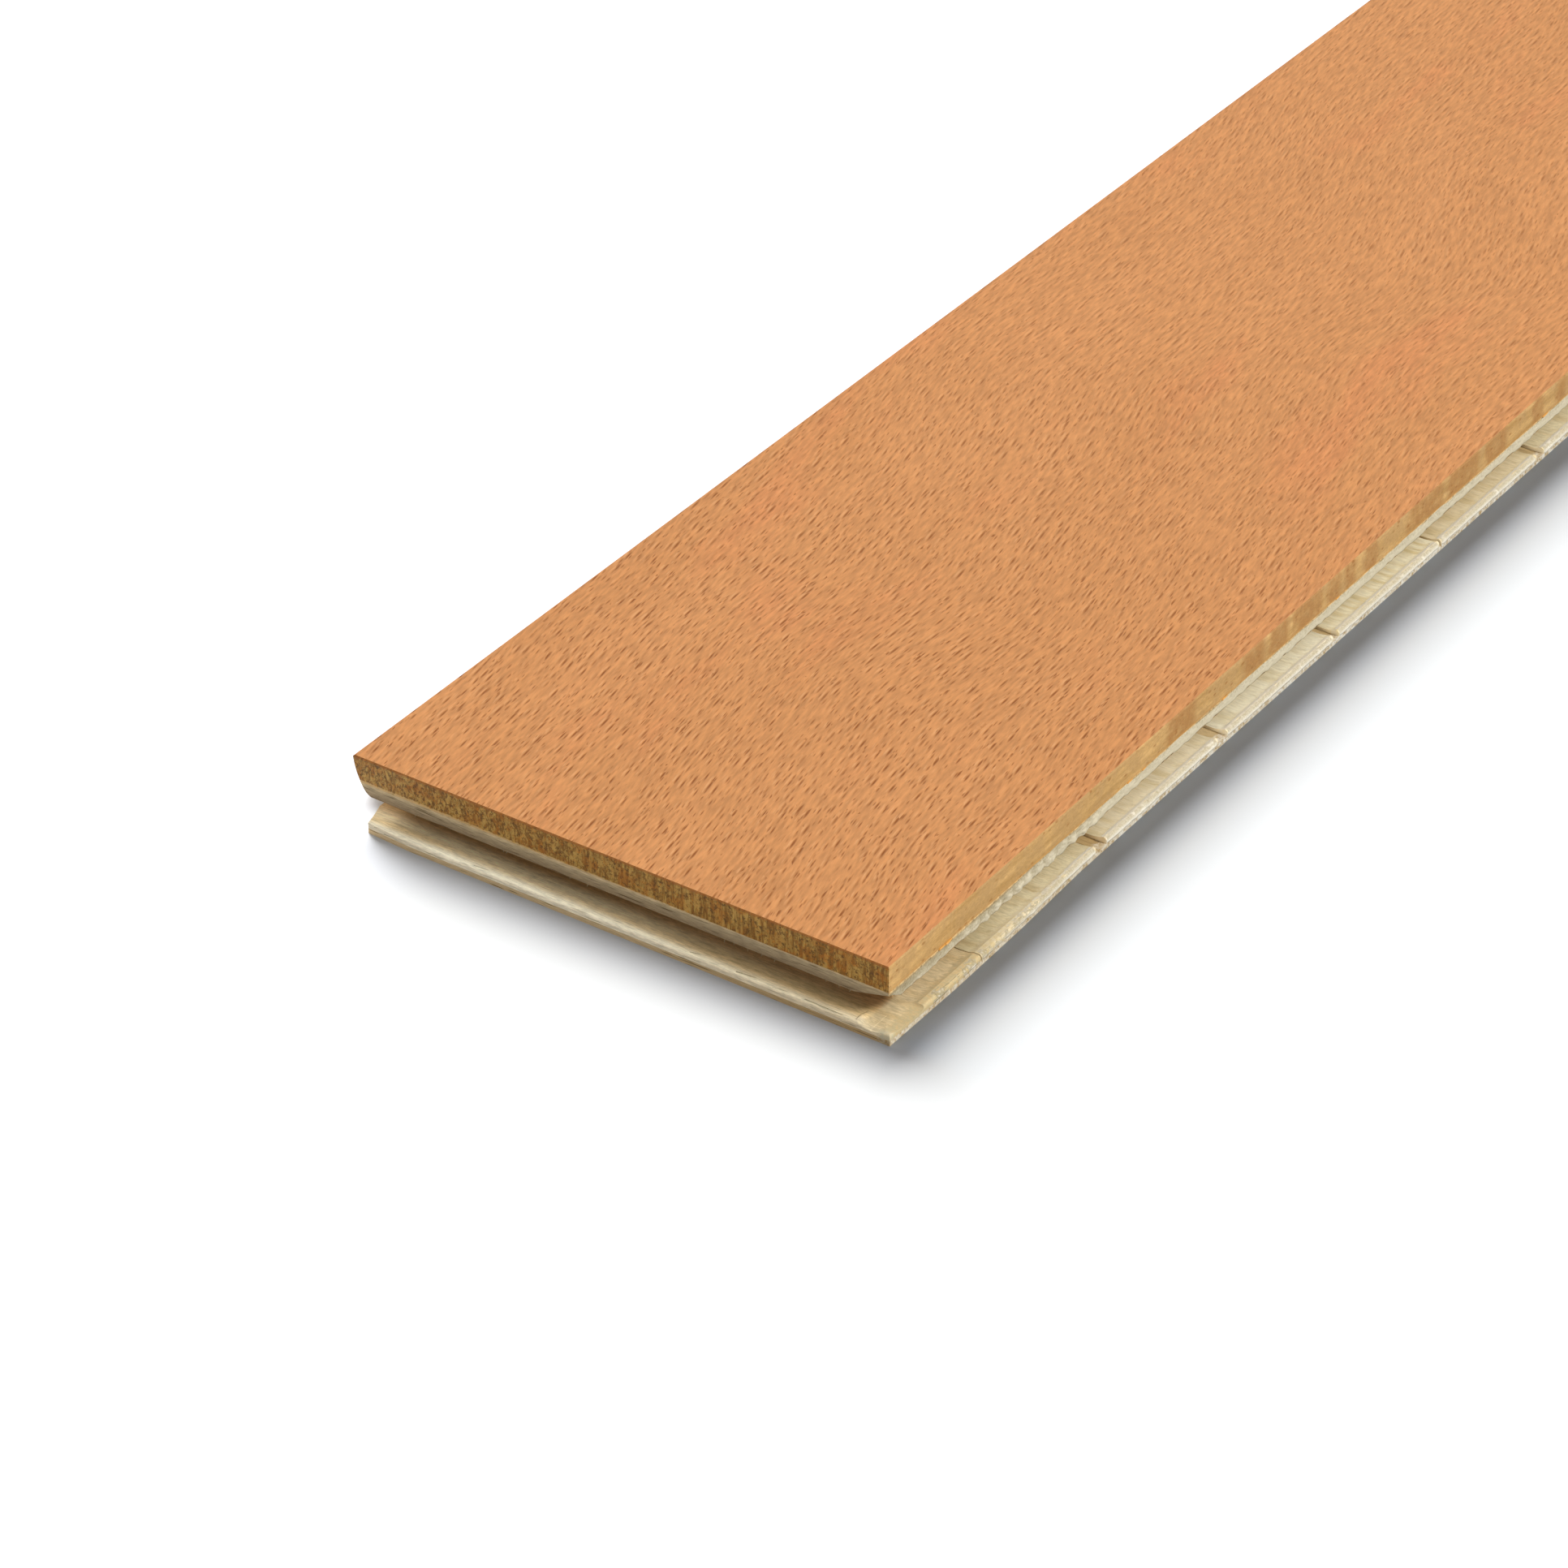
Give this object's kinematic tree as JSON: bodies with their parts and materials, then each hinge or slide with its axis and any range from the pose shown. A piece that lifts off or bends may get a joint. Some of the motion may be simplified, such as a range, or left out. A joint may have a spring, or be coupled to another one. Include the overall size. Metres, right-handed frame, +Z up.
{
  "type": "engineered wood floorboard",
  "caption": "Long wide wooden floorboard: thick hardwood wear layer on a crosswise softwood ply and softwood strips, with a groove over a protruding lip on two edges and a tongue on the others.",
  "frame": {"origin": "bottom centre of the board's box, on the surface that it lies on", "axes": "+X along the board, from the end with the groove to the end with the tongue; +Y across it, from the side with the groove to the side with the tongue; +Z up, out of the face"},
  "size_m": [1.1036, 0.1374, 0.014],
  "materials": {
    "beech": "sanded and matt lacquered face, sawn edges",
    "crossband_softwood": "milled, fuzzy end grain, unfinished",
    "core_softwood": "milled, slightly fuzzy, unfinished",
    "backing_softwood": "peeled veneer, unfinished"
  },
  "bodies": {
    "root": {"backing_veneer": "backing_softwood", "core_lamella_01": "core_softwood", "core_lamella_02": "core_softwood", "core_lamella_03": "core_softwood", "core_lamella_04": "core_softwood", "core_lamella_05": "core_softwood", "core_lamella_06": "core_softwood", "core_lamella_07": "core_softwood", "core_lamella_08": "core_softwood", "core_lamella_09": "core_softwood", "core_lamella_10": "core_softwood", "core_lamella_11": "core_softwood", "core_lamella_12": "core_softwood", "core_lamella_13": "core_softwood", "core_lamella_14": "core_softwood", "core_lamella_15": "core_softwood", "core_lamella_16": "core_softwood", "core_lamella_17": "core_softwood", "core_lamella_18": "core_softwood", "core_lamella_19": "core_softwood", "core_lamella_20": "core_softwood", "core_lamella_21": "core_softwood", "core_lamella_22": "core_softwood", "core_lamella_23": "core_softwood", "core_lamella_24": "core_softwood", "crossband": "crossband_softwood", "wear_layer": "beech"}
  },
  "joints": []
}
